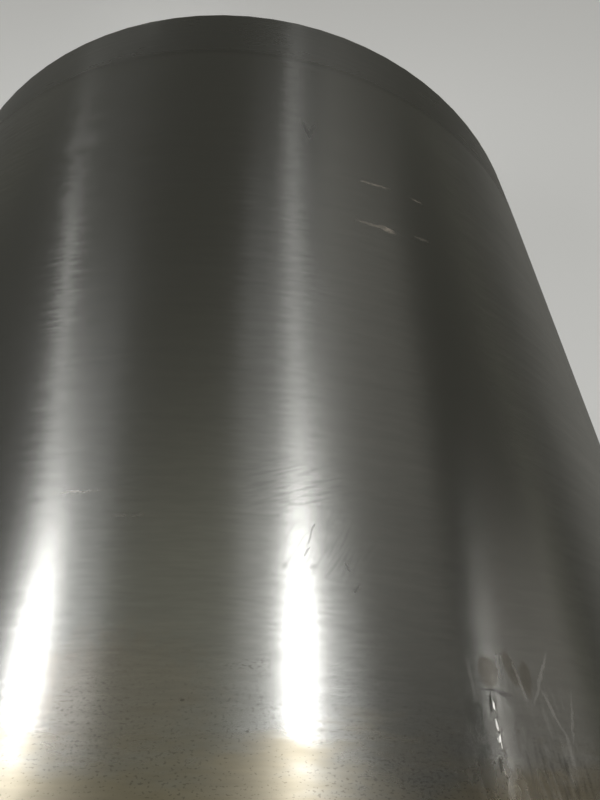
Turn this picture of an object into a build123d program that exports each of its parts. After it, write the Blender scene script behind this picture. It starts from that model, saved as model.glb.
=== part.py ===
from build123d import *
import math
import os

# A mill coil: one long steel strip wound on itself into a thick ring, with an open eye.
# It lies on its side on the floor. Its axis runs along Y, the end seen first faces -Y,
# and the origin is on the floor under the middle of the coil.

# Driving dimensions, in millimetres
strip_width = 1250.0
gauge = 1.5
eye_diameter = 508.0
outer_diameter = 1200.0

# Lap ends. Clock places are degrees clockwise from the top, seen from the -Y end.
tail_clock = 150.0
tail_ramp = 50.0
head_clock = 300.0
head_ramp = 25.0

# The strip strays sideways as it is wound, so its turns stand in uneven bands on the two ends.
turns_in_band = 14
unevenness = 0.6
uneven_phase = 2.3
stray = 3.0
stray_phase = 2.4

# The strip is thinner along its edges, which leaves the ends of the coil a little slacker.
edge_drop = 1.5
edge_drop_width = 120.0

# Extra length that is wound past the bands at each end, and cut away again
trim = 20.0

eye_radius = eye_diameter / 2
outer_radius = outer_diameter / 2
half_width = strip_width / 2
blank_half = half_width + stray + trim


def ring_point(radius, angle):
    """A point of the cross-section, at an angle in degrees."""
    return Vector(radius * math.cos(math.radians(angle)), radius * math.sin(math.radians(angle)))


def along_ring(angle):
    """The direction in which a circle round the axis runs at an angle."""
    return Vector(-math.sin(math.radians(angle)), math.cos(math.radians(angle)))


def section_angle(clock):
    """A clock place as an angle of the cross-section, whose Y points down."""
    return clock - 90


def outer_outline():
    """The last turn: round, until it sinks by one gauge onto the turn below, beside the tail's cut end."""
    tail = section_angle(tail_clock)
    sink_start = tail - tail_ramp
    round_turn = CenterArc((0, 0), outer_radius, tail, 360 - tail_ramp)
    sinking = TangentArc(
        ring_point(outer_radius, sink_start),
        ring_point(outer_radius - gauge, tail),
        tangent=along_ring(sink_start),
    )
    cut_end = Line(sinking @ 1, round_turn @ 0)
    return Wire([round_turn, sinking, cut_end])


def eye_outline():
    """The first turn: round, until the second climbs by one gauge over the head's cut end."""
    head = section_angle(head_clock)
    climb_start = head + head_ramp
    round_turn = CenterArc((0, 0), eye_radius, climb_start, 360 - head_ramp)
    climbing = TangentArc(
        ring_point(eye_radius, climb_start),
        ring_point(eye_radius + gauge, head),
        tangent=-along_ring(climb_start),
    )
    cut_end = Line(climbing @ 1, round_turn @ 1)
    return Wire([round_turn, climbing, cut_end])


def wound_ring():
    """The wound strip, longer than its width at both ends, so that the ends can be cut to their bands."""
    section = make_face(outer_outline()) - make_face(eye_outline())
    return extrude(section, amount=blank_half, both=True)


def band_height(band):
    """The thickness of a band's turns together, which is a whole number of turns."""
    return gauge * math.ceil(turns_in_band * (1 + unevenness * math.sin(uneven_phase * band)))


def band_edges():
    """Radii at which one band of turns gives way to the next, outwards from the eye."""
    thinnest_band = gauge * turns_in_band * (1 - unevenness)
    edges = []
    edge = eye_radius + band_height(0)
    while edge < outer_radius - thinnest_band:
        edges.append(edge)
        edge += band_height(len(edges))
    return edges


def band_stray(band):
    """How far a band of turns stands towards +Y of the coil's middle."""
    return stray * math.sin(stray_phase * band)


def end_cutter(side):
    """All that stands past the strip's edges on one end, side 1 for +Y and -1 for -Y, as a turned solid.

    Its profile steps from band to band and ends in the slight taper of the outermost turns.
    """
    beyond = side * blank_half * 2
    profile = [(0, beyond)]
    inner = 0
    for band, edge in enumerate([*band_edges(), outer_radius - edge_drop]):
        face = side * half_width + band_stray(band)
        profile += [(inner, face), (edge, face)]
        inner = edge
    profile.append((outer_radius + edge_drop, face - side * 2 * edge_drop_width))
    profile.append((outer_radius + edge_drop, beyond))
    return revolve(Plane.XZ * make_face(Polyline(*profile, close=True)), axis=Axis.Z)


def steel_coil():
    """The whole coil, round its own axis, which is Z here."""
    coil = wound_ring()
    for side in (-1, 1):
        coil -= end_cutter(side)
    return coil


def laid_down(coil):
    """The coil on its side, with its axis along Y and its lowest line on the floor."""
    return Pos(0, 0, outer_radius) * Rot(-90, 0, 0) * coil


os.makedirs("parts", exist_ok=True)
export_step(laid_down(steel_coil()), "parts/steel_coil.step")
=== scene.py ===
import math

import bpy
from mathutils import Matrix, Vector


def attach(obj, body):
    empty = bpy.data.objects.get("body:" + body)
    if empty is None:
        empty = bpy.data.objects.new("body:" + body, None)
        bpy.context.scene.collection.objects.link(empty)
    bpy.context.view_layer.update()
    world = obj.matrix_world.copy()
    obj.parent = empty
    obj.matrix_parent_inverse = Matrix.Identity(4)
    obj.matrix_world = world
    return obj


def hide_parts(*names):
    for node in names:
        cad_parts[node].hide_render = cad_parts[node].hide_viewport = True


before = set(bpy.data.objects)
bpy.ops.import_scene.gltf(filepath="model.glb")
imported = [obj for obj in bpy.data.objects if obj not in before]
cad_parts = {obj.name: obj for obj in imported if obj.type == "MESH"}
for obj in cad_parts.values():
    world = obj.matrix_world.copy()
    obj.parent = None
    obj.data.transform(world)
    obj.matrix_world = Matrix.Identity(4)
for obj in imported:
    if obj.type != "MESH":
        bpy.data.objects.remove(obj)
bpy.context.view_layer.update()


# The coil is one strip of bright cold-rolled steel, wound tightly on itself 230 times, with no strap.
# Its slit edges show as one long spiral on both ends, in bands where the strip strayed sideways while
# it was wound. Its head, in the eye, and its tail, low on the right, are cut square.
strip_width = 1.25
half_width = strip_width / 2
eye_radius = 0.254
outer_radius = 0.6
turns = 230
pitch = (outer_radius - eye_radius) / (turns + 1)
tail_clock = math.radians(150)

# Around the coil there are this many faces, and the outline stands still once more at each cut end.
faces_round = 96
head_column = 56
tail_column = faces_round + 1
columns = faces_round + 2

# Angles are counted round from the tail's cut end. Near the eye a turn climbs over the head's end
# within head_ramp, and near the outside it climbs beside the tail's end within tail_ramp.
head_ramp_start = math.radians(185)
head_ramp = math.radians(25)
tail_ramp = math.radians(50)

# The strip strayed sideways as it was wound. Bands of about this many turns, some thicker and some
# thinner, stand aside together, and the strip crosses from one to the next in part of a turn.
turns_in_band = 14
unevenness = 0.6
uneven_phase = 2.3
stray = 0.0027
stray_phase = 2.4
turns_to_cross = 0.6

# The turns quiver a little besides: how far, how quickly and from which phase.
quivers = ((0.00014, 2.9, 0), (0.0001, 7.3, 1))

# The strip is thinner along its edges, so the coil's outside falls away a little towards both ends.
edge_drop = 0.0015
edge_drop_width = 0.14


def bands():
    """The turn at which each band begins, and how far the band stands towards +Y."""
    found = []
    first_turn = 0
    while first_turn < turns:
        band = len(found)
        found.append((first_turn, stray * math.sin(stray_phase * band)))
        first_turn += math.ceil(turns_in_band * (1 + unevenness * math.sin(uneven_phase * band)))
    return found


coil_bands = bands()


def eased(share):
    """A share of the way from 0 to 1, with a soft start and a soft stop."""
    held = min(1.0, max(0.0, share))
    return held * held * (3 - 2 * held)


def sideways(turn):
    """How far towards +Y the strip lies, at a place counted in turns from its head."""
    aside = coil_bands[0][1]
    for (first_turn, place), (_, place_before) in zip(coil_bands[1:], coil_bands):
        aside += (place - place_before) * eased((turn - first_turn) / turns_to_cross + 0.5)
    return aside + sum(size * math.sin(rate * turn + phase) for size, rate, phase in quivers)


def wound_radius(ring, angle, inwards):
    """Radius of the line between two turns, at a distance inwards from the strip's edge.

    Ring counts these lines outwards, and the first, at the eye, is 0.
    """
    outward = max(ring, 0) / turns
    over_head = min(1.0, max(0.0, (angle - head_ramp_start) / head_ramp)) ** 2
    off_tail = 1 - max(0.0, 1 - angle / tail_ramp) ** 2
    climbed = (1 - outward) * over_head + outward * off_tail
    slack = edge_drop * max(0.0, 1 - inwards / edge_drop_width) ** 2
    return eye_radius + pitch * (ring + climbed) * (1 - slack / (outer_radius - eye_radius))


# The outline is drawn at +X: one turn's edge and the step to the next, repeated up the coil. Each
# turn is drawn a little further out than the one below, and this step numbers it for later. Along
# the outside the outline has a point at each of these distances from the edge, in metres.
stair = 0.0001
join_distance = stair / 10
shell_rows = (0.0004, 0.004, 0.01, 0.02, 0.035, 0.05, 0.07, 0.09, 0.115, 0.14, 0.3)
bpy.ops.object.select_all(action="DESELECT")
bpy.ops.mesh.primitive_plane_add(size=pitch, location=(0, 0, 0))
wound_strip = bpy.context.object
wound_strip.name = "wound_strip"
bpy.ops.object.mode_set(mode="EDIT")
bpy.ops.mesh.merge(type="CENTER")
bpy.ops.transform.translate(value=(eye_radius - pitch, half_width, 0))
bpy.ops.mesh.extrude_region_move(TRANSFORM_OT_translate={"value": (pitch, 0, 0)})
bpy.ops.mesh.extrude_region_move(TRANSFORM_OT_translate={"value": (0, stair, 0)})
bpy.ops.object.mode_set(mode="OBJECT")
bpy.ops.object.transform_apply(location=True, rotation=True, scale=True)
climb = wound_strip.modifiers.new("turn upon turn", "ARRAY")
climb.count = turns + 1
climb.use_relative_offset = False
climb.use_constant_offset = True
climb.constant_offset_displace = (pitch, stair, 0)
climb.use_merge_vertices = True
climb.merge_threshold = join_distance
bpy.ops.object.modifier_apply(modifier=climb.name)


def select_vertices(piece, wanted):
    """Selects the vertices whose place meets a rule, and nothing else."""
    bpy.ops.object.mode_set(mode="EDIT")
    bpy.ops.mesh.select_mode(type="VERT")
    bpy.ops.mesh.select_all(action="DESELECT")
    bpy.ops.object.mode_set(mode="OBJECT")
    for vertex in piece.data.vertices:
        vertex.select = wanted(vertex.co)
    bpy.ops.object.mode_set(mode="EDIT")


# The topmost step is dropped. From the last turn's edge the outline runs in along the outside, and
# from the first turn's edge in along the eye, and the other half is its mirror image.
select_vertices(wound_strip, lambda place: place.y > half_width + stair * (turns + 0.5))
bpy.ops.mesh.delete(type="VERT")
select_vertices(wound_strip, lambda place: place.x > eye_radius + pitch * (turns - 0.5))
bpy.ops.mesh.extrude_region_move(
    TRANSFORM_OT_translate={"value": (0, -shell_rows[0] - stair * turns, 0)}
)
for row, next_row in zip(shell_rows, (*shell_rows[1:], half_width)):
    bpy.ops.mesh.extrude_region_move(TRANSFORM_OT_translate={"value": (0, row - next_row, 0)})
select_vertices(wound_strip, lambda place: place.x < eye_radius - pitch / 2)
bpy.ops.mesh.extrude_region_move(TRANSFORM_OT_translate={"value": (0, -half_width, 0)})
bpy.ops.object.mode_set(mode="OBJECT")
other_end = wound_strip.modifiers.new("other end", "MIRROR")
other_end.use_axis = (False, True, False)
other_end.merge_threshold = join_distance
bpy.ops.object.modifier_apply(modifier=other_end.name)

# The outline is spun a little short of the full circle, so that the two sides of its seam are apart.
spun_share = 0.99
column_angle = math.tau * spun_share / columns
bpy.ops.object.mode_set(mode="EDIT")
bpy.ops.mesh.select_all(action="SELECT")
bpy.ops.mesh.spin(steps=columns, angle=column_angle * columns, center=(0, 0, 0), axis=(0, 1, 0))
bpy.ops.object.mode_set(mode="OBJECT")

# Each vertex goes from its place in the drawn staircase to its place on the wound strip. The seam
# lies at the tail, where the end of each turn meets the start of the next, so that all are one spiral.
# Before the head's cut the first turn isn't there, and after the tail's cut the last isn't.
drawn_at = []
laid_at = []
for vertex in wound_strip.data.vertices:
    drawn = vertex.co.copy()
    ring = round((math.hypot(drawn.x, drawn.z) - eye_radius) / pitch)
    column = round((math.atan2(drawn.z, drawn.x) % math.tau) / column_angle)
    beyond = abs(drawn.y) - half_width
    on_end = beyond > -stair / 2
    turn = (round(beyond / stair) if on_end else turns * (ring > 0)) - 1
    across = math.copysign(half_width, drawn.y) if on_end else drawn.y
    head_laid = column > head_column
    tail_cut = column > tail_column
    angle = math.tau * (column - head_laid - tail_cut) / faces_round
    drawn_at.append((on_end, ring))
    if not head_laid:
        ring = max(ring, 0)
        turn = max(turn, 0)
    if tail_cut:
        ring = min(ring, turns - 1)
        turn = min(turn, turns - 2)
    along = turn + angle / math.tau
    radius = wound_radius(ring, angle, half_width - abs(across))
    clock = tail_clock - angle
    aside = across + sideways(along)
    vertex.co = (radius * math.sin(clock), aside, outer_radius + radius * math.cos(clock))
    laid_at.append((clock * (outer_radius if ring > 0 else eye_radius), aside, along))

# The map "strip" holds metres from the coil's top line and along its axis on the two wide faces. On
# the edges it holds the place along the strip, and across the coil's wall, both counted in turns. A
# step's own face counts as the middle of a turn.
outer_slot, edge_slot, inner_slot = range(3)
strip_map = wound_strip.data.uv_layers.new(name="strip")
for polygon in wound_strip.data.polygons:
    corners = [drawn_at[number] for number in polygon.vertices]
    is_edge = all(on_end for on_end, _ in corners)
    is_step = is_edge and len({ring for _, ring in corners}) == 1
    wide_slot = outer_slot if corners[0][1] > 0 else inner_slot
    polygon.material_index = edge_slot if is_edge else wide_slot
    for loop, number in zip(polygon.loop_indices, polygon.vertices):
        clock_arc, aside, along = laid_at[number]
        ring = drawn_at[number][1]
        strip_map.data[loop].uv = (along, ring + 0.5 * is_step) if is_edge else (clock_arc, aside)

bpy.ops.object.mode_set(mode="EDIT")
bpy.ops.mesh.select_all(action="SELECT")
bpy.ops.mesh.remove_doubles(threshold=stair / 50)
bpy.ops.mesh.normals_make_consistent(inside=False)
bpy.ops.object.mode_set(mode="OBJECT")
bpy.ops.object.shade_smooth_by_angle(angle=math.radians(25))


def add_node(tree, kind, sockets=None, **settings):
    """Adds a shader node. A socket's entry is its value, or another node's output to link to it."""
    node = tree.nodes.new(kind)
    for name, value in settings.items():
        setattr(node, name, value)
    for name, value in (sockets or {}).items():
        if isinstance(value, bpy.types.NodeSocket):
            tree.links.new(value, node.inputs[name])
        else:
            node.inputs[name].default_value = value
    return node


def calculate(tree, operation, first, second=0.0, third=0.0):
    """The outcome of a Math node."""
    sockets = {0: first, 1: second, 2: third}
    return add_node(tree, "ShaderNodeMath", sockets, operation=operation).outputs[0]


def rescale(tree, value, low, high, new_low, new_high, kind="SMOOTHSTEP"):
    """A value moved from one range to another, and held at its ends."""
    sockets = {"Value": value, "From Min": low, "From Max": high, "To Min": new_low, "To Max": new_high}
    return add_node(tree, "ShaderNodeMapRange", sockets, interpolation_type=kind).outputs["Result"]


def stretched_noise(tree, place, stretch, detail, roughness=0.5, shift=0.0):
    """Noise with a number of features per metre in each direction."""
    sockets = {"Vector": place, "Scale": stretch, "Location": (shift, 1.7 * shift, 0.0)}
    laid = add_node(tree, "ShaderNodeMapping", sockets).outputs["Vector"]
    sockets = {"Vector": laid, "Scale": 1.0, "Detail": detail, "Roughness": roughness}
    return add_node(tree, "ShaderNodeTexNoise", sockets).outputs["Fac"]


def blend_colour(tree, share, first, second):
    """One colour laid over another by a share. A Mix node's colours are its sockets 6 and 7."""
    sockets = {0: share, 6: first, 7: second}
    return add_node(tree, "ShaderNodeMix", sockets, data_type="RGBA").outputs[2]


def new_group(name, vectors, numbers, outcomes):
    """A shader node group that takes named vectors and numbers, and puts out named numbers.

    It is empty, and comes with the nodes at its two ends.
    """
    group = bpy.data.node_groups.new(name, "ShaderNodeTree")
    for socket in vectors:
        group.interface.new_socket(socket, in_out="INPUT", socket_type="NodeSocketVector")
    for socket in numbers:
        group.interface.new_socket(socket, in_out="INPUT", socket_type="NodeSocketFloat")
    for socket in outcomes:
        group.interface.new_socket(socket, in_out="OUTPUT", socket_type="NodeSocketFloat")
    return group, group.nodes.new("NodeGroupInput"), group.nodes.new("NodeGroupOutput")


def rolled_finish():
    """The mill's finish: fine short lines along the strip, broader ones, and faint clouds.

    The fine lines are clearest at the near end, where the strip has been handled. Tilt is how far each
    line leans around the coil, which frays the sides of the lights on it.
    """
    outcomes = ("Tone", "Roughness", "Height", "Tilt")
    group, start, end = new_group("rolled finish", ("Place",), (), outcomes)
    place = start.outputs["Place"]
    parts = add_node(group, "ShaderNodeSeparateXYZ", {"Vector": place})
    around, along_axis = parts.outputs["X"], parts.outputs["Y"]
    fine = stretched_noise(group, place, (60.0, 420.0, 1.0), detail=1.0)
    broad = stretched_noise(group, place, (10.0, 110.0, 1.0), detail=2.0, shift=3.0)
    cloud = stretched_noise(group, place, (5.0, 8.0, 1.0), detail=4.0, roughness=0.6, shift=7.0)
    waves = stretched_noise(group, place, (4.0, 5.0, 1.0), detail=1.0, shift=11.0)
    near_lines = stretched_noise(group, place, (45.0, 330.0, 1.0), detail=1.0, shift=19.0)
    far_lines = stretched_noise(group, place, (24.0, 145.0, 1.0), detail=0.5, shift=31.0)
    clearness = rescale(group, along_axis, -0.5, 0.15, 0.2, 0.05, "LINEAR")
    fine_tone = calculate(group, "MULTIPLY", calculate(group, "SUBTRACT", fine, 0.5), clearness)
    broad_tone = rescale(group, broad, 0.2, 0.8, -0.06, 0.06, "LINEAR")
    cloud_tone = rescale(group, cloud, 0.25, 0.75, 0.93, 1.06, "LINEAR")
    tone = calculate(group, "ADD", cloud_tone, calculate(group, "ADD", fine_tone, broad_tone))
    broad_rough = rescale(group, broad, 0.2, 0.8, 0.008, -0.008, "LINEAR")
    cloud_rough = rescale(group, cloud, 0.2, 0.8, 0.015, -0.015, "LINEAR")
    rough = calculate(group, "ADD", cloud_rough, broad_rough)
    wave_height = 0.0007
    height = calculate(group, "MULTIPLY", waves, wave_height)
    near_lean = rescale(group, along_axis, -0.35, 0.0, 0.012, 0.034, "LINEAR")
    far_share = rescale(group, along_axis, -0.25, 0.3, 0.0, 1.0, "LINEAR")
    far_lean = calculate(group, "MULTIPLY", far_share, rescale(group, around, -0.16, 0.1, 0.085, 0.035))
    near_tilt = calculate(group, "MULTIPLY", calculate(group, "SUBTRACT", near_lines, 0.5), near_lean)
    far_tilt = calculate(group, "MULTIPLY", calculate(group, "SUBTRACT", far_lines, 0.5), far_lean)
    tilt = calculate(group, "ADD", near_tilt, far_tilt)
    for outcome, value in zip(outcomes, (tone, rough, height, tilt)):
        group.links.new(value, end.inputs[outcome])
    return group


rolled = rolled_finish()


def calculate_vector(tree, operation, first, second):
    """The vector outcome of a Vector Math node."""
    sockets = {0: first, 1: second}
    return add_node(tree, "ShaderNodeVectorMath", sockets, operation=operation).outputs["Vector"]


def measure_vector(tree, operation, first, second=(0.0, 0.0, 0.0)):
    """The single number that a Vector Math node gives, such as a length or a dot product."""
    sockets = {0: first, 1: second}
    return add_node(tree, "ShaderNodeVectorMath", sockets, operation=operation).outputs["Value"]


def scaled(tree, vector, scale):
    """A vector or colour made longer or brighter by a number."""
    sockets = {0: vector, "Scale": scale}
    return add_node(tree, "ShaderNodeVectorMath", sockets, operation="SCALE").outputs["Vector"]


def soft_patch():
    """A mask that is 1 round a centre and fades out at its reach. Unevenness makes its border ragged."""
    group, start, end = new_group("soft patch", ("Place", "Centre", "Reach"), ("Unevenness",), ("Mask",))
    offset = calculate_vector(group, "SUBTRACT", start.outputs["Place"], start.outputs["Centre"])
    shares = calculate_vector(group, "DIVIDE", offset, start.outputs["Reach"])
    distance = measure_vector(group, "LENGTH", shares)
    uneven = calculate(group, "ADD", distance, start.outputs["Unevenness"])
    group.links.new(rescale(group, uneven, 0.35, 1.0, 1.0, 0.0), end.inputs["Mask"])
    return group


def drawn_mark():
    """A mask over a thin mark, such as a scratch, that fades towards its sides and its two tips.

    Along is one over half its length, in its own direction, and Across is one over its width.
    """
    vectors = ("Place", "Middle", "Along", "Across")
    group, start, end = new_group("drawn mark", vectors, ("Strength",), ("Mask",))
    offset = calculate_vector(group, "SUBTRACT", start.outputs["Place"], start.outputs["Middle"])
    along = measure_vector(group, "DOT_PRODUCT", offset, start.outputs["Along"])
    across = measure_vector(group, "DOT_PRODUCT", offset, start.outputs["Across"])
    along_squared = calculate(group, "MULTIPLY", along, along)
    distance = calculate(group, "MULTIPLY_ADD", across, across, along_squared)
    mask = rescale(group, distance, 0.05, 1.0, start.outputs["Strength"], 0.0)
    group.links.new(mask, end.inputs["Mask"])
    return group


def wiped_strokes():
    """Many short soft strokes side by side, such as a rag leaves in a thin film of oil."""
    group, start, end = new_group("wiped strokes", ("Place", "Stroke"), ("Turned",), ("Mask",))
    sockets = {"Vector": start.outputs["Place"], "Angle": start.outputs["Turned"]}
    turned = add_node(group, "ShaderNodeVectorRotate", sockets, rotation_type="Z_AXIS").outputs["Vector"]
    laid = calculate_vector(group, "DIVIDE", turned, start.outputs["Stroke"])
    sockets = {"Vector": laid, "Scale": 1.0, "Detail": 0.5}
    noise = add_node(group, "ShaderNodeTexNoise", sockets).outputs["Fac"]
    group.links.new(rescale(group, noise, 0.45, 0.75, 0.0, 1.0), end.inputs["Mask"])
    return group


patch_group = soft_patch()
mark_group = drawn_mark()
stroke_group = wiped_strokes()


def steel_surface(name, anisotropy):
    """A metal whose gloss spreads across the rolling lines, with its tree, shader and round axis."""
    quarter_turn = 0.25
    material = bpy.data.materials.new(name)
    material.use_nodes = True
    tree = material.node_tree
    shader = tree.nodes["Principled BSDF"]
    shader.inputs["Metallic"].default_value = 1.0
    shader.inputs["Anisotropic"].default_value = anisotropy
    shader.inputs["Anisotropic Rotation"].default_value = quarter_turn
    round_axis = add_node(tree, "ShaderNodeTangent", direction_type="RADIAL", axis="Y").outputs["Tangent"]
    tree.links.new(round_axis, shader.inputs["Tangent"])
    return material, tree, shader, round_axis


# How rough each face of the strip is, and the oil on it
outer_roughness = 0.25
inner_roughness = 0.36
edge_roughness = 0.48
least_roughness = 0.07
oil_roughness = 0.08
oil_ior = 1.47
edge_metallic = 0.7

steel_tone = (0.56, 0.56, 0.54, 1.0)
edge_tone = (0.45, 0.45, 0.44)
# The scuff colour also paints a highlight along the rims.
scuff_and_rim_highlight_tone = (0.8, 0.71, 0.61, 1.0)
# The tan film colour and the brown below it paint a reflection of warm surroundings over the near end.
tan_film_and_reflection_tone = (0.52, 0.46, 0.34, 1.0)
warm_reflection_brown = (0.6, 0.54, 0.47, 1.0)
brown_oil = (0.5, 0.45, 0.36, 1.0)
# The dried grease colour also paints sheen on the pale pools along the side tube's light.
dried_grease_and_sheen = (0.6, 0.58, 0.54, 1.0)
dark_speck = (0.15, 0.13, 0.11, 1.0)

# Marks on the strip, in metres from the top line and along the axis: where each starts and ends, its
# width and its strength. Scuffs are bare and pale, and strokes are where a finger wiped the oil.
scuffs = (
    ((0.186, 0.197), (0.236, 0.2025), 0.0026, 0.75),
    ((0.2578, 0.2017), (0.2812, 0.1996), 0.0022, 0.7),
    ((0.1746, 0.1136), (0.2316, 0.1114), 0.0034, 0.6),
    ((0.204, 0.1152), (0.2308, 0.1102), 0.0064, 1.0),
    ((0.2532, 0.1199), (0.2773, 0.1194), 0.0022, 0.6),
    ((-0.084, -0.2559), (-0.0085, -0.253), 0.0012, 0.16),
    ((-0.0345, -0.2762), (0.021, -0.2744), 0.0012, 0.13),
)
strokes = (
    ((0.1192, 0.314), (0.1322, 0.256), 0.004, 1.0),
    ((0.1385, 0.314), (0.1272, 0.262), 0.0034, 0.8),
    ((0.1215, -0.27), (0.1128, -0.2975), 0.0012, 0.9),
    ((0.1182, -0.2925), (0.1105, -0.3035), 0.0012, 0.9),
    ((0.096, -0.3085), (0.1005, -0.3105), 0.0026, 0.5),
    ((0.116, -0.308), (0.119, -0.3105), 0.0038, 0.5),
    ((0.1411, -0.302), (0.1455, -0.3127), 0.0015, 0.8),
    ((0.1509, -0.3172), (0.1462, -0.327), 0.0015, 0.8),
    ((0.0378, -0.3955), (0.0378, -0.398), 0.0018, 1.0),
    ((0.0767, -0.4118), (0.0767, -0.4142), 0.0014, 1.0),
)
dried_borders = (
    ((0.2249, -0.3581), (0.2274, -0.3924), 0.0018, 0.6),
    ((0.251, -0.3459), (0.25, -0.3804), 0.0018, 0.9),
    ((0.2617, -0.3522), (0.271, -0.3894), 0.0015, 1.0),
    ((0.3034, -0.3424), (0.2709, -0.3912), 0.0018, 0.9),
    ((0.2817, -0.3685), (0.2998, -0.4062), 0.0018, 0.9),
    ((0.2972, -0.3942), (0.3006, -0.4272), 0.0022, 1.0),
    ((0.3164, -0.3683), (0.3001, -0.4152), 0.0016, 0.7),
)
# The pale pools lie along the side tube's light on the wet film. Their pale tone is painted sheen over
# dried oil.
pale_pools_and_sheen = (
    ((0.2494, -0.3021), (0.2453, -0.3566), 0.0125, 0.15),
    ((0.2438, -0.3767), (0.2386, -0.4442), 0.0125, 1.0),
    ((0.2985, -0.4), (0.2942, -0.4381), 0.0065, 0.8),
)
brown_pools = (
    ((0.2428, -0.3545), (0.2388, -0.3825), 0.0105, 1.0),
    ((0.2568, -0.3498), (0.2652, -0.3782), 0.006, 1.0),
    ((0.2733, -0.3543), (0.2722, -0.3846), 0.0066, 0.9),
)
pool_rims = (((0.2292, -0.3795), (0.2602, -0.3825), 0.0018, 0.7),)
speck_rows = (
    ((0.055, -0.3785), (0.1, -0.3735), 0.0045, 1.0),
    ((0.07, -0.401), (0.108, -0.3985), 0.006, 1.0),
)
drop_rows = (
    ((0.2411, -0.362), (0.2381, -0.45), 0.0042, 1.0),
    ((0.2926, -0.411), (0.296, -0.447), 0.003, 1.0),
)

# A shallow dent lies on the left, and the drops of oil stand a little proud.
dent_middle = (-0.1525, 0.2585, 0.0)
dent_reach = 0.032
dent_depth = 0.00042
drop_height = 0.0001

# The borders of patches and marks wander by up to half of this.
border_wander = 0.006


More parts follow.
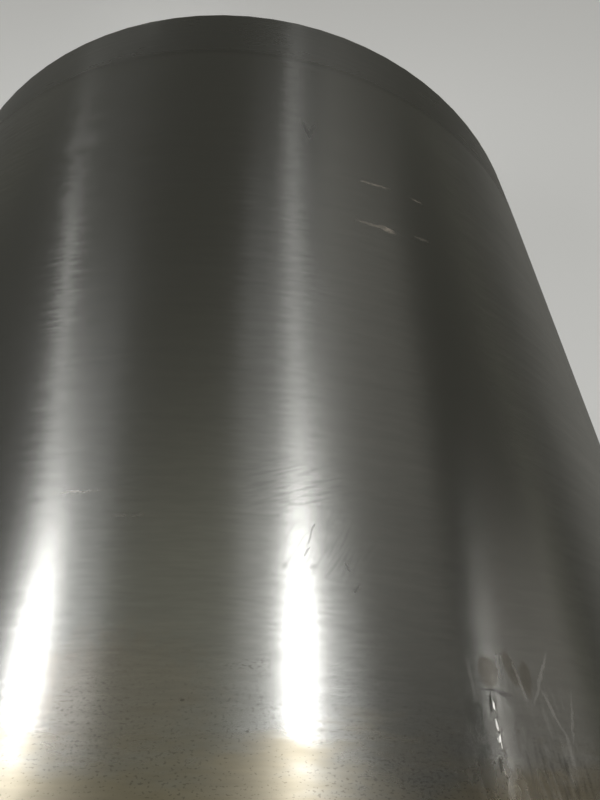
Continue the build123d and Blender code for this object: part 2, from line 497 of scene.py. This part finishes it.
def outer_face():
    """The last turn's outside: rolled steel with scuffs, a dent, stains and a wet film of oil, and painted
    light and shade.
    """
    material, tree, shader, round_axis = steel_surface("outer face of the strip", anisotropy=0.72)

    def times(first, second):
        """The product of two masks, or of a mask and a number."""
        return calculate(tree, "MULTIPLY", first, second)

    def larger(first, second):
        """The larger of two masks, or of a value and a number."""
        return calculate(tree, "MAXIMUM", first, second)

    place = add_node(tree, "ShaderNodeUVMap", uv_map="strip").outputs["UV"]
    along_axis = add_node(tree, "ShaderNodeSeparateXYZ", {"Vector": place}).outputs["Y"]
    finish = add_node(tree, "ShaderNodeGroup", {"Place": place}, node_tree=rolled)
    wear_sockets = {"Vector": place, "Scale": 90.0, "Detail": 3.0, "Roughness": 0.6}
    wear = add_node(tree, "ShaderNodeTexNoise", wear_sockets)
    centred = calculate_vector(tree, "SUBTRACT", wear.outputs["Color"], (0.5, 0.5, 0.5))
    wandered = calculate_vector(tree, "ADD", place, scaled(tree, centred, border_wander))
    worn = rescale(tree, wear.outputs["Fac"], 0.35, 0.6, 0.35, 1.0)

    def patch(centre, reach, raggedness=0.6):
        """A mask that is 1 round a centre, with a ragged border."""
        uneven = rescale(tree, wear.outputs["Fac"], 0.0, 1.0, -raggedness / 2, raggedness / 2, "LINEAR")
        sockets = {
            "Place": wandered,
            "Centre": (*centre, 0.0),
            "Reach": (*reach, 1.0),
            "Unevenness": uneven,
        }
        return add_node(tree, "ShaderNodeGroup", sockets, node_tree=patch_group).outputs["Mask"]

    def marks(listed, laid=wandered):
        """One mask over all the marks of a list."""
        together = None
        for first, last, width, strength in listed:
            run = Vector(last) - Vector(first)
            middle = (Vector(first) + Vector(last)) / 2
            along = run * 2 / run.length_squared
            across = run.orthogonal().normalized() / width
            sockets = {
                "Place": laid,
                "Middle": (*middle, 0.0),
                "Along": (*along, 0.0),
                "Across": (*across, 0.0),
                "Strength": strength,
            }
            mark = add_node(tree, "ShaderNodeGroup", sockets, node_tree=mark_group).outputs["Mask"]
            together = mark if together is None else larger(together, mark)
        return together

    def wiped(degrees, stroke):
        """Strokes of a length and width, turned by an angle from the rolling lines."""
        sockets = {"Place": place, "Turned": math.radians(degrees), "Stroke": (*stroke, 1.0)}
        return add_node(tree, "ShaderNodeGroup", sockets, node_tree=stroke_group).outputs["Mask"]

    # The thinner edges of the strip are duller, and painted shade darkens them, from a faint line inwards
    # of each end.
    inwards = calculate(tree, "SUBTRACT", half_width, calculate(tree, "ABSOLUTE", along_axis))
    edge_band_dull_and_shaded = rescale(tree, inwards, edge_drop_width - 0.016, edge_drop_width + 0.008, 1.0, 0.0)
    # The faint line is painted shade along the crease where the edge drop begins.
    line_off = calculate(tree, "ABSOLUTE", calculate(tree, "SUBTRACT", inwards, edge_drop_width))
    painted_crease_shade = rescale(tree, line_off, 0.0, 0.012, 1.0, 0.0)
    # Within a few millimetres of each end, a pale line broken up by wear is a painted highlight on the
    # rim's edge.
    burr_and_rim_highlight = times(rescale(tree, inwards, 0.0012, 0.0026, 1.0, 0.0), worn)

    # A tan film with dark specks lies over the near end, and its tan, with a brown tint in the middle, is
    # painted reflection of warm surroundings. It thins out along the coil and at the edge, and is patchy
    # low on the sides.
    film_noise = stretched_noise(tree, place, (9.0, 30.0, 1.0), detail=4.0, roughness=0.65, shift=13.0)
    film_wander = rescale(tree, film_noise, 0.2, 0.8, -0.04, 0.04, "LINEAR")
    film_edge = calculate(tree, "ADD", along_axis, film_wander)
    film_cover = stretched_noise(tree, place, (2.2, 5.0, 1.0), detail=3.0, shift=37.0)
    patchy = rescale(tree, film_cover, 0.4, 0.62, 0.15, 0.8)
    covered = larger(patchy, patch((0.02, -0.45), (0.85, 0.4)))
    covered = times(covered, rescale(tree, film_edge, -0.6, -0.48, 0.5, 1.0))
    tan = times(rescale(tree, film_edge, -0.452, -0.4, 0.85, 0.0), covered)
    wide_film = rescale(tree, film_edge, -0.46, -0.33, 1.0, 0.0)
    warm_reflection_haze = times(patch((0.0, -0.395), (0.075, 0.055), 0.9), 0.45)
    speck_noise = stretched_noise(tree, place, (420.0, 800.0, 1.0), detail=1.0, shift=17.0)
    threshold = rescale(tree, film_noise, 0.35, 0.65, 0.64, 0.54, "LINEAR")
    speck_share = calculate(tree, "DIVIDE", calculate(tree, "SUBTRACT", speck_noise, threshold), 0.1)
    specked = larger(wide_film, times(marks(speck_rows), 0.7))
    left_specks = times(patch((-0.018, -0.4), (0.035, 0.035)), 0.6)
    specked = larger(specked, left_specks)
    specks = times(rescale(tree, speck_share, 0.0, 1.0, 0.0, 1.0), specked)

    # Wiped strokes cross the light over the coil's top, lying flat at first and then steeper.
    flat_strokes = times(wiped(-20, (0.022, 0.003)), patch((0.108, -0.249), (0.055, 0.04), 0.3))
    steep_strokes = times(wiped(-60, (0.02, 0.0026)), patch((0.128, -0.292), (0.05, 0.04), 0.3))
    stroked = larger(flat_strokes, times(steep_strokes, 0.7))
    dark_strokes = larger(marks(strokes), times(stroked, 0.5))

    # A wet film lies on the right of the near end, with pale dried borders and shining drops.
    wet = patch((0.262, -0.412), (0.068, 0.075), 0.9)
    wet_depth = stretched_noise(tree, place, (95.0, 40.0, 1.0), detail=2.0, roughness=0.6, shift=23.0)
    wet_film = times(wet, rescale(tree, wet_depth, 0.44, 0.56, 0.0, 1.0))
    runs = times(wiped(82, (0.02, 0.0034)), wet)
    dark_runs = times(wiped(86, (0.014, 0.0042)), patch((0.284, -0.427), (0.042, 0.022)))
    mottled = rescale(tree, wet_depth, 0.35, 0.6, 0.35, 1.0)
    # The pale pools paint the side tube's sheen on the wet film.
    pale = times(marks(pale_pools_and_sheen), mottled)
    borders = larger(marks(dried_borders), times(runs, 0.45))
    grease_and_sheen = times(larger(borders, pale), 0.55)
    oily = rescale(tree, marks(brown_pools), 0.05, 0.7, 0.0, 1.0)
    dark_oil = larger(marks(pool_rims), times(dark_runs, 0.8))
    drop_noise = stretched_noise(tree, place, (260.0, 105.0, 1.0), detail=1.0, shift=29.0)
    drops = times(marks(drop_rows, place), rescale(tree, drop_noise, 0.5, 0.56, 0.0, 1.0))

    scratched = times(marks(scuffs), worn)
    tone = finish.outputs["Tone"]
    # Painted shade darkens the edge bands and the line inwards of each end.
    for mask, kept in (
        (edge_band_dull_and_shaded, 0.8),
        (painted_crease_shade, 0.88),
        (dark_strokes, 0.62),
        (wet_film, 0.9),
        (oily, 0.84),
        (dark_oil, 0.55),
    ):
        tone = times(tone, rescale(tree, mask, 0.0, 1.0, 1.0, kept, "LINEAR"))
    # The brown tint in the middle and the tan over the near end are painted reflection of warm
    # surroundings.
    colour = blend_colour(tree, warm_reflection_haze, steel_tone, warm_reflection_brown)
    colour = blend_colour(tree, tan, colour, tan_film_and_reflection_tone)
    colour = blend_colour(tree, times(oily, 0.4), colour, brown_oil)
    # On the pale pools this is painted sheen of the side tube's light. On the borders it is dried grease.
    colour = blend_colour(tree, grease_and_sheen, colour, dried_grease_and_sheen)
    colour = scaled(tree, colour, tone)
    colour = blend_colour(tree, times(specks, 0.42), colour, dark_speck)
    colour = blend_colour(tree, scratched, colour, scuff_and_rim_highlight_tone)
    # The pale line along each rim is a painted highlight.
    colour = blend_colour(tree, times(burr_and_rim_highlight, 0.6), colour, scuff_and_rim_highlight_tone)
    tree.links.new(colour, shader.inputs["Base Color"])
    bare = calculate(tree, "SUBTRACT", 1.0, times(grease_and_sheen, 0.4))
    tree.links.new(bare, shader.inputs["Metallic"])

    rough = calculate(tree, "ADD", finish.outputs["Roughness"], outer_roughness)
    for mask, change in (
        (edge_band_dull_and_shaded, 0.03),
        (dark_strokes, 0.045),
        (tan, 0.07),
        (grease_and_sheen, 0.06),
        (wet_film, -0.06),
        (drops, -0.17),
        (scratched, 0.22),
        (burr_and_rim_highlight, 0.12),
    ):
        rough = calculate(tree, "ADD", rough, times(mask, change))
    tree.links.new(larger(rough, least_roughness), shader.inputs["Roughness"])
    tree.links.new(times(wet_film, 0.7), shader.inputs["Coat Weight"])
    shader.inputs["Coat Roughness"].default_value = oil_roughness
    shader.inputs["Coat IOR"].default_value = oil_ior

    # The lights on the steel are frayed by the lines' lean, and bent by its waves and its dent.
    dent_offset = calculate_vector(tree, "SUBTRACT", place, dent_middle)
    dent_distance = measure_vector(tree, "LENGTH", dent_offset)
    dent = rescale(tree, dent_distance, 0.0, dent_reach, -dent_depth, 0.0)
    relief = calculate(tree, "ADD", dent, times(drops, drop_height))
    height = calculate(tree, "ADD", finish.outputs["Height"], relief)
    flat = add_node(tree, "ShaderNodeNewGeometry").outputs["Normal"]
    leaning = calculate_vector(tree, "ADD", flat, scaled(tree, round_axis, finish.outputs["Tilt"]))
    sockets = {"Height": height, "Strength": 1.0, "Distance": 1.0, "Normal": leaning}
    bump = add_node(tree, "ShaderNodeBump", sockets)
    tree.links.new(bump.outputs["Normal"], shader.inputs["Normal"])
    return material


def strip_edges():
    """The slit edges of all the turns, on the two ends, with a dark gap from turn to turn."""
    material, tree, shader, _ = steel_surface("slit edges of the strip", anisotropy=0.6)
    place = add_node(tree, "ShaderNodeUVMap", uv_map="strip").outputs["UV"]
    parts = add_node(tree, "ShaderNodeSeparateXYZ", {"Vector": place})
    along = parts.outputs["X"]
    across = calculate(tree, "FRACT", parts.outputs["Y"])
    off_middle = calculate(tree, "ABSOLUTE", calculate(tree, "SUBTRACT", across, 0.5))
    gap = rescale(tree, off_middle, 0.38, 0.5, 1.0, 0.25)

    def tone_along(changes_per_turn, detail, darkest, lightest):
        """A tone that changes along the strip."""
        sockets = {"W": along, "Scale": changes_per_turn, "Detail": detail}
        noise = add_node(tree, "ShaderNodeTexNoise", sockets, noise_dimensions="1D").outputs["Fac"]
        return rescale(tree, noise, 0.25, 0.75, darkest, lightest, "LINEAR")

    slow_tone = tone_along(0.17, 2.0, 0.72, 1.12)
    quick_tone = tone_along(1.3, 1.0, 0.8, 1.15)
    tone = calculate(tree, "MULTIPLY", calculate(tree, "MULTIPLY", slow_tone, quick_tone), gap)
    tree.links.new(scaled(tree, edge_tone, tone), shader.inputs["Base Color"])
    shader.inputs["Metallic"].default_value = edge_metallic
    shader.inputs["Roughness"].default_value = edge_roughness
    return material


def inner_face():
    """The first turn's inside, round the eye."""
    material, tree, shader, _ = steel_surface("inner face of the strip", anisotropy=0.6)
    place = add_node(tree, "ShaderNodeUVMap", uv_map="strip").outputs["UV"]
    finish = add_node(tree, "ShaderNodeGroup", {"Place": place}, node_tree=rolled)
    colour = scaled(tree, steel_tone[:3], finish.outputs["Tone"])
    tree.links.new(colour, shader.inputs["Base Color"])
    rough = calculate(tree, "ADD", finish.outputs["Roughness"], inner_roughness)
    tree.links.new(rough, shader.inputs["Roughness"])
    return material


for surface in (outer_face(), strip_edges(), inner_face()):
    wound_strip.data.materials.append(surface)
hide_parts("steel_coil")
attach(wound_strip, "root")


# The floor is a wide pale sheet under the coil, with a matt finish. The steel mirrors it darker, like
# the floor of a store.
bpy.ops.mesh.primitive_plane_add(size=80, location=(0, 0, 0))
floor = bpy.context.object
floor.name = "floor"
floor_paint = bpy.data.materials.new("pale floor")
floor_paint.use_nodes = True
floor_tree = floor_paint.node_tree
floor_shader = floor_tree.nodes["Principled BSDF"]
floor_shader.inputs["Roughness"].default_value = 0.9
floor_shader.inputs["Emission Color"].default_value = (1.0, 0.995, 0.97, 1.0)
seen_floor = (0.8, 0.8, 0.79, 1.0)
mirrored_floor = (0.3, 0.295, 0.275, 1.0)
ray = add_node(floor_tree, "ShaderNodeLightPath")
is_glossy = ray.outputs["Is Glossy Ray"]
mirrored = calculate(floor_tree, "MAXIMUM", is_glossy, ray.outputs["Is Transmission Ray"])
floor_tone = blend_colour(floor_tree, mirrored, seen_floor, mirrored_floor)
floor_tree.links.new(floor_tone, floor_shader.inputs["Base Color"])
floor_place = add_node(floor_tree, "ShaderNodeTexCoord").outputs["Object"]
floor_distance = measure_vector(floor_tree, "LENGTH", floor_place)
distant_glow = rescale(floor_tree, floor_distance, 3.5, 13.0, 0.2, 0.4)
seen_glow = calculate(floor_tree, "MULTIPLY", ray.outputs["Is Camera Ray"], distant_glow)
floor_glow = calculate(floor_tree, "MULTIPLY_ADD", mirrored, 0.03, seen_glow)
floor_tree.links.new(floor_glow, floor_shader.inputs["Emission Strength"])
floor.data.materials.append(floor_paint)


# Two rows of tube lamps hang over the coil, brightest overhead and weaker along the far part of each
# row. They make the two long lights on the steel. A single tube on the right picks out the wet film.
lamp_height = 4.0
tube_width = 0.19
tube_tint = (1.0, 0.995, 0.985)
glow_tint = (0.97, 0.98, 1.0)

# Watts that a square metre of lamp gives at a brightness of 1
lamp_power = 4


def hang_lamp(light, place, rotation):
    """Puts a lamp in the scene, out of the camera's sight."""
    lamp = bpy.data.objects.new(light.name, light)
    lamp.location = place
    lamp.rotation_euler = rotation
    lamp.visible_camera = False
    bpy.context.scene.collection.objects.link(lamp)
    return lamp


def flat_lamp(name, start, stop, width, brightness, colour=tube_tint):
    """A long lamp between two places, as wide as given, facing down."""
    run = Vector(stop) - Vector(start)
    light = bpy.data.lights.new(name, "AREA")
    light.shape = "RECTANGLE"
    light.size = width
    light.size_y = run.length
    light.energy = lamp_power * brightness * width * run.length
    light.color = colour
    return hang_lamp(light, (Vector(start) + Vector(stop)) / 2, (0, 0, math.atan2(-run.x, run.y)))


# Where each row's tubes begin and end, one after the other, and then how bright each tube is
lamp_rows = (
    (
        "right",
        ((1.23, 0.26), (1.225, 0.86), (1.22, 1.35), (1.2, 2.1), (1.18, 3.4), (1.16, 5.2), (1.15, 8.0)),
        (15, 1.6, 0.75, 0.58, 0.48, 0.3),
    ),
    (
        "left",
        ((-1.71, 0.19), (-1.845, 0.8), (-1.99, 1.35), (-2.28, 2.1), (-2.9, 3.4), (-3.6, 5.2), (-4.9, 8.0)),
        (17, 0.95, 0.6, 0.75, 0.7, 0.35),
    ),
)
tubes_in_row = len(lamp_rows[0][2])
for number in range(tubes_in_row):
    for name, ends, brightness in lamp_rows:
        start = (*ends[number], lamp_height)
        stop = (*ends[number + 1], lamp_height)
        flat_lamp(f"{name} row {number}", start, stop, tube_width, brightness[number])

# The lit ceiling round each row: each panel's ends, width, height over the lamps and brightness
for name, start, stop, width, rise, brightness in (
    ("right glow core", (1.25, -0.2), (1.24, 1.05), 0.6, 0.04, 0.28),
    ("right glow near", (1.23, -0.2), (1.2, 1.5), 1.4, 0.08, 0.2),
    ("right glow far", (1.0, 1.5), (0.95, 4.5), 1.3, 0.12, 0.08),
    ("right glow shoulder", (1.55, 0.15), (1.55, 0.68), 1.2, 0.16, 0.62),
    ("left glow core", (-1.68, -0.2), (-1.86, 0.9), 0.6, 0.04, 0.36),
    ("left glow near", (-1.7, -0.2), (-1.9, 1.5), 1.4, 0.08, 0.18),
    ("left glow far", (-1.9, 1.5), (-2.3, 3.2), 1.3, 0.12, 0.06),
    ("left glow shoulder", (-1.4, 0.05), (-1.45, 0.6), 0.9, 0.16, 0.62),
):
    level = lamp_height + rise
    flat_lamp(name, (*start, level), (*stop, level), width, brightness, glow_tint)

# On the right a narrow tube and a dim panel behind it face the coil, under a dim stretch of ceiling.
side_tube = flat_lamp("side tube", (3.63, 0.0, 2.9), (3.63, 1.05, 2.9), 0.04, 3.3)
side_tube.rotation_euler = (0, math.radians(62), 0)
flat_lamp("ceiling glow", (3.2, 0.6, 4.2), (3.8, 9.0, 4.2), 3.2, 0.07, colour=(1.0, 0.97, 0.9))
side_glow = flat_lamp("side glow", (4.6, -0.8, 2.4), (4.6, 1.8, 2.4), 2.0, 0.12, colour=(1.0, 0.95, 0.88))
side_glow.rotation_euler = (0, math.radians(72), 0)


def soft_box(name, place, aim, size, brightness):
    """A square lamp that faces the place it is aimed at."""
    light = bpy.data.lights.new(name, "AREA")
    light.shape = "SQUARE"
    light.size = size
    light.energy = lamp_power * brightness * size * size
    rotation = (Vector(aim) - Vector(place)).to_track_quat("-Z", "Y").to_euler()
    return hang_lamp(light, place, rotation)


# Two large soft boxes stand behind the camera, and light the floor and the near end. A low one stands
# before the far end.
soft_box("key", (-3.6, -3.4, 3.6), (0.2, 0.1, 0.1), 2.4, 8.0)
soft_box("fill", (2.4, -4.4, 4.4), (0.3, 0.5, 0.3), 2.6, 5.0)
far_fill = soft_box("far fill", (-0.9, 5.2, 0.6), (0, 0.6, 0.8), 0.8, 0.85)
far_fill.data.spread = math.radians(50)


# The studio has a plain pale backdrop, as the camera sees it. The steel sees a dim room, which is
# lighter at the horizon and overhead than between them.
world = bpy.data.worlds.new("studio")
bpy.context.scene.world = world
world.use_nodes = True
world_tree = world.node_tree
direction = add_node(world_tree, "ShaderNodeTexCoord").outputs["Generated"]
upwards = add_node(world_tree, "ShaderNodeSeparateXYZ", {"Vector": direction}).outputs["Z"]
horizon = rescale(world_tree, upwards, 0.0, 0.14, 0.1, 0.038)
room = calculate(world_tree, "ADD", horizon, rescale(world_tree, upwards, 0.7, 1.0, 0.0, 0.15))
room_tint = (1.0, 0.99, 0.8, 1.0)
backdrop = 0.46
backdrop_tint = (1.0, 0.99, 0.96, 1.0)
in_view = add_node(world_tree, "ShaderNodeLightPath").outputs["Is Camera Ray"]
world_level = rescale(world_tree, in_view, 0.0, 1.0, room, backdrop, "LINEAR")
world_tint = blend_colour(world_tree, in_view, room_tint, backdrop_tint)
world_tree.links.new(world_tint, world_tree.nodes["Background"].inputs["Color"])
world_tree.links.new(world_level, world_tree.nodes["Background"].inputs["Strength"])


# The camera looks down along the coil from above its near end, as a hand-held one does.
camera_data = bpy.data.cameras.new("camera")
camera_data.sensor_width = 36.0
camera_data.lens = 29.25
camera_data.clip_start = 0.02
camera = bpy.data.objects.new("camera", camera_data)
camera.location = (0.099, -0.505, 1.602)
camera.rotation_euler = (math.radians(39.731), math.radians(-0.922), math.radians(-0.768))
bpy.context.scene.collection.objects.link(camera)
bpy.context.scene.camera = camera
bpy.context.scene.view_settings.view_transform = "Standard"
